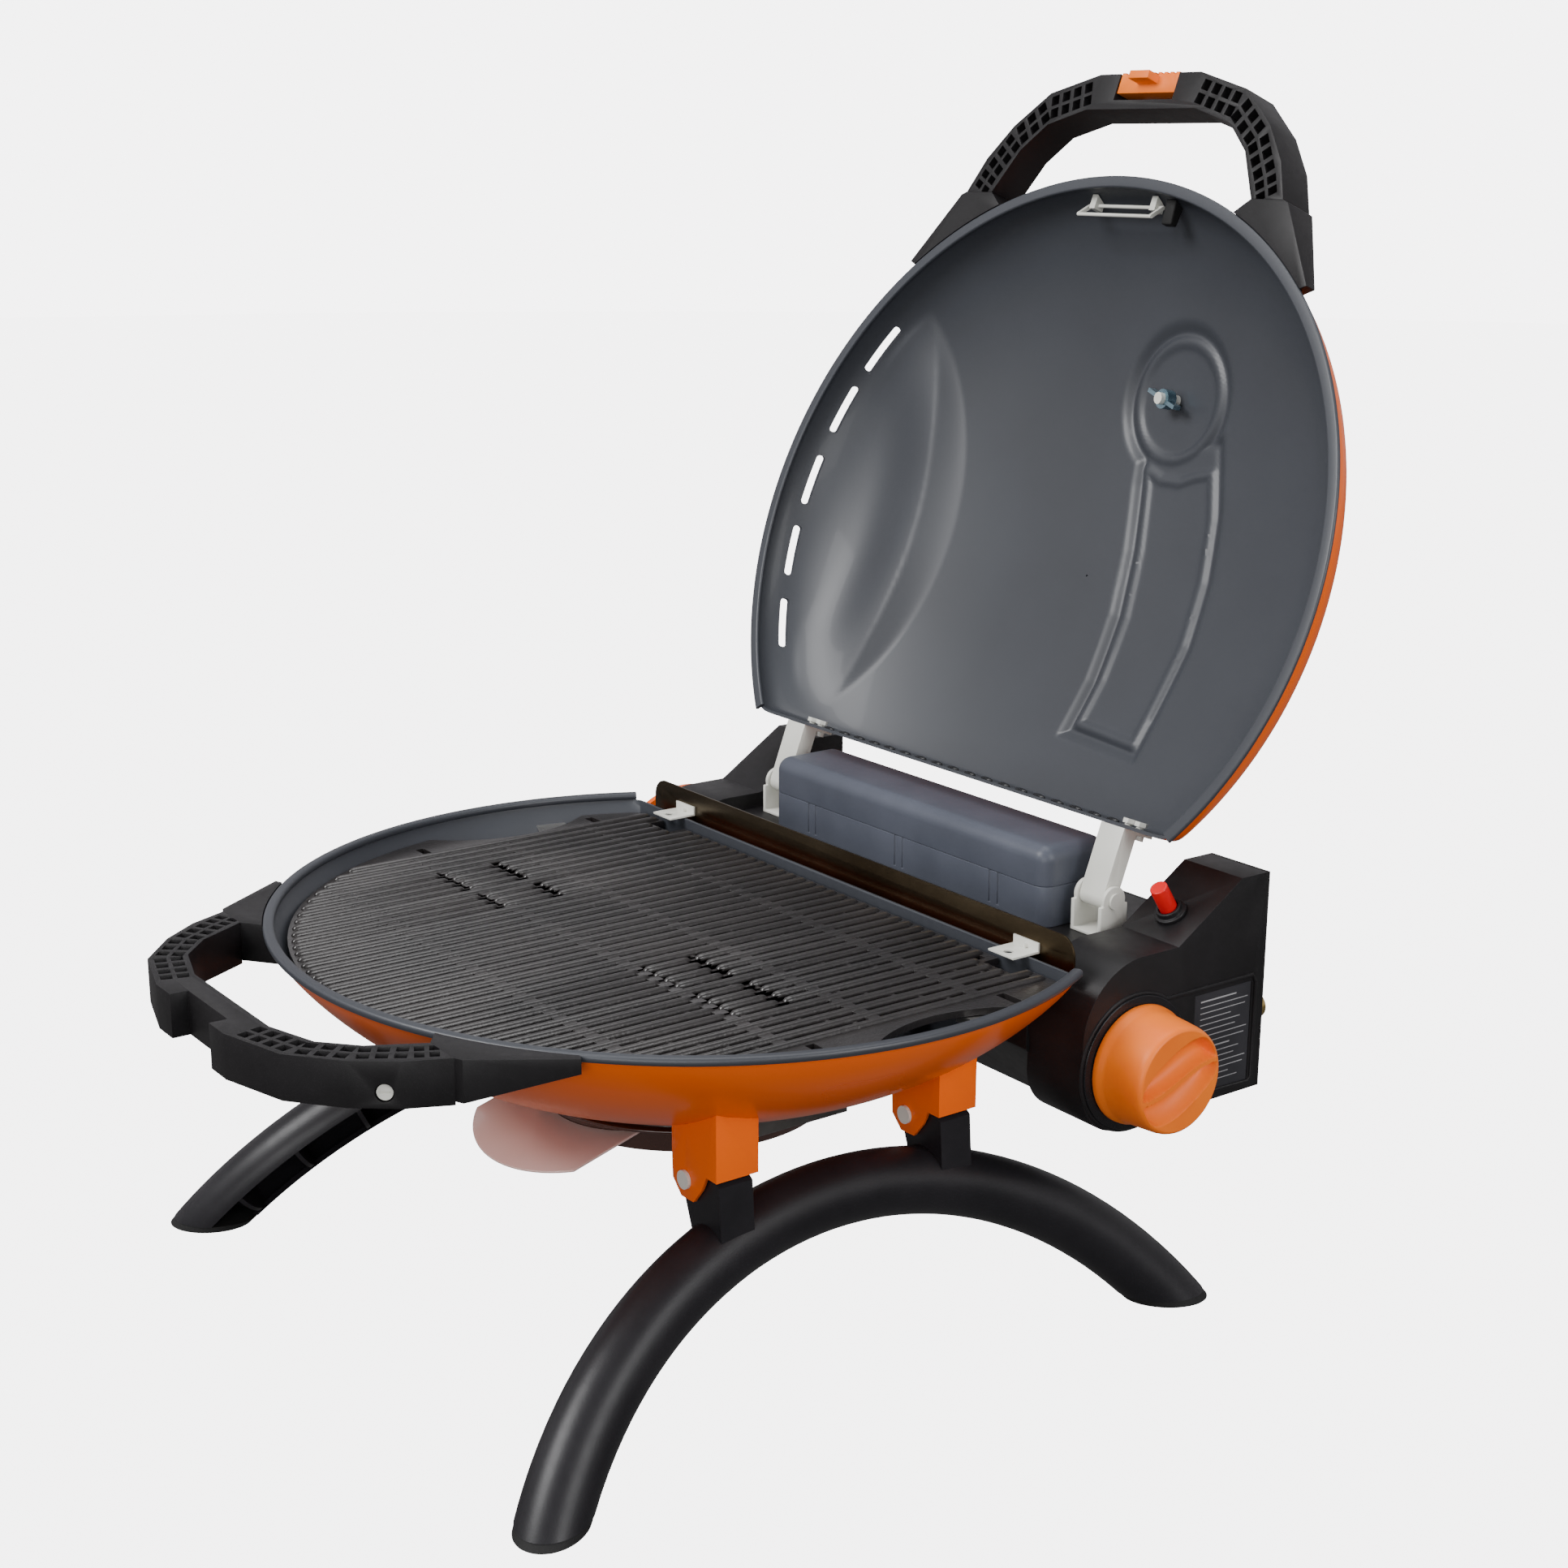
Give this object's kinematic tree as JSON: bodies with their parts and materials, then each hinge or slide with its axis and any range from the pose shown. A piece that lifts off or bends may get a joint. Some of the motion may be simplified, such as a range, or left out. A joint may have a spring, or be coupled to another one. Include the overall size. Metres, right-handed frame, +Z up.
{
  "type": "folding camp grill",
  "caption": "Table-top gas grill with a hinged domed lid, folding arched legs, cast grate, pull-out grease pan and side burner knob.",
  "frame": {"origin": "on the ground at the middle of the bounding box, with the legs out and the lid held open", "axes": "+X to the user's right, +Y to the back where the lid is hinged, +Z up"},
  "size_m": [0.5385, 0.7136, 0.7346],
  "materials": {
    "orange_paint": "gloss",
    "slate_enamel": "satin",
    "lid_enamel": "satin",
    "black_plastic": "satin",
    "leg_plastic": "satin",
    "rubber": "matte",
    "cast_iron": "satin enamel",
    "steel": "brushed",
    "zinc": "polished",
    "blue_zinc": "passivated",
    "guard_steel": "heat-tinted",
    "pan_enamel": "gloss",
    "tab_steel": "polished",
    "orange_plastic": "satin",
    "red_plastic": "gloss",
    "case_plastic": "satin",
    "bezel_plastic": "gloss",
    "label": "matte",
    "brass": "machined",
    "ceramic": "glazed",
    "clear": "clear"
  },
  "bodies": {
    "base": {"bowl_shell": "orange_paint", "bowl_rim": "slate_enamel", "grate_rests": "steel", "burner": "steel", "venturi_tube": "steel", "burner_clamp": "steel", "gas_valve": "brass", "gas_inlet": "brass", "igniter_body": "ceramic", "igniter_collar": "black_plastic", "spark_electrode": "ceramic", "wind_guard": "guard_steel", "guard_clips": "zinc", "grease_funnel": "steel", "pan_rails": "steel", "front_handle": "black_plastic", "front_handle_ends": "black_plastic", "front_handle_screws": "zinc", "leg_brackets": "orange_paint", "leg_pins": "zinc", "leg_springs": "zinc", "rear_housing": "black_plastic", "rear_cover": "black_plastic", "cover_screws": "zinc", "knob_bezel": "bezel_plastic", "label_plate": "label", "left_cap": "orange_paint", "hinge_brackets": "zinc", "hinge_pins": "zinc", "case_box": "case_plastic", "case_hinge_pin": "zinc"},
    "lid": {"lid_shell": "lid_enamel", "hinge_arms": "zinc", "hinge_bolts": "zinc", "lid_handle": "black_plastic", "lid_handle_ends": "black_plastic", "lid_handle_screws": "zinc", "catch_clips": "zinc", "lid_bumper": "rubber", "thermo_case": "zinc", "thermo_lens": "clear", "thermo_nut": "blue_zinc"},
    "left_leg": {"leg_left": "leg_plastic", "pads_left": "rubber"},
    "right_leg": {"leg_right": "leg_plastic", "pads_right": "rubber"},
    "knob": {"control_knob": "orange_plastic", "valve_stem": "steel"},
    "igniter": {"igniter_button": "red_plastic"},
    "latch": {"latch_button": "orange_plastic"},
    "needle": {"thermo_needle": "red_plastic"},
    "grate": {"cooking_grate": "cast_iron"},
    "pan": {"grease_pan": "pan_enamel", "pan_tab": "tab_steel"},
    "case_top": {"case_lid": "case_plastic"},
    "catch": {"catch_wire": "zinc"}
  },
  "joints": [
    {"name": "lid_hinge", "type": "hinge", "parent": "base", "child": "lid", "pos_m": [-0.00425, 0.15991, 0.2455], "axis": [-1, 0, 0], "range_deg": [-110.5, 0]},
    {"name": "left_leg_fold", "type": "hinge", "parent": "base", "child": "left_leg", "pos_m": [-0.15855, -0.04679, 0.135], "axis": [0, -1, 0], "range_deg": [0, 79]},
    {"name": "right_leg_fold", "type": "hinge", "parent": "base", "child": "right_leg", "pos_m": [0.15005, -0.04679, 0.135], "axis": [0, 1, 0], "range_deg": [0, 79]},
    {"name": "knob_turn", "type": "hinge", "parent": "base", "child": "knob", "pos_m": [0.23375, 0.12221, 0.17], "axis": [1, 0, 0], "range_deg": [0, 150]},
    {"name": "igniter_press", "type": "slide", "parent": "base", "child": "igniter", "axis": [0, 0.5446, -0.8387], "range_m": [0, 0.004], "stiffness_N_per_m": 900},
    {"name": "latch_press", "type": "slide", "parent": "lid", "child": "latch", "axis": [0, -0.3502, -0.9367], "range_m": [0, 0.004], "stiffness_N_per_m": 1500},
    {"name": "needle_turn", "type": "hinge", "parent": "lid", "child": "needle", "pos_m": [0.03575, 0.32983, 0.52435], "axis": [0.1029, 0.9782, -0.1803], "range_deg": [-240, 0]},
    {"name": "grate_lift", "type": "slide", "parent": "base", "child": "grate", "axis": [0, 0, 1], "range_m": [0, 0.15]},
    {"name": "pan_slide", "type": "slide", "parent": "base", "child": "pan", "axis": [0, 1, 0], "range_m": [-0.15, 0]},
    {"name": "case_lid_hinge", "type": "hinge", "parent": "base", "child": "case_top", "pos_m": [-0.00425, 0.18461, 0.252], "axis": [-1, 0, 0], "range_deg": [0, 28]},
    {"name": "catch_swing", "type": "hinge", "parent": "lid", "child": "catch", "pos_m": [-0.00425, 0.31847, 0.64817], "axis": [-1, 0, 0], "range_deg": [-60, 45]}
  ]
}
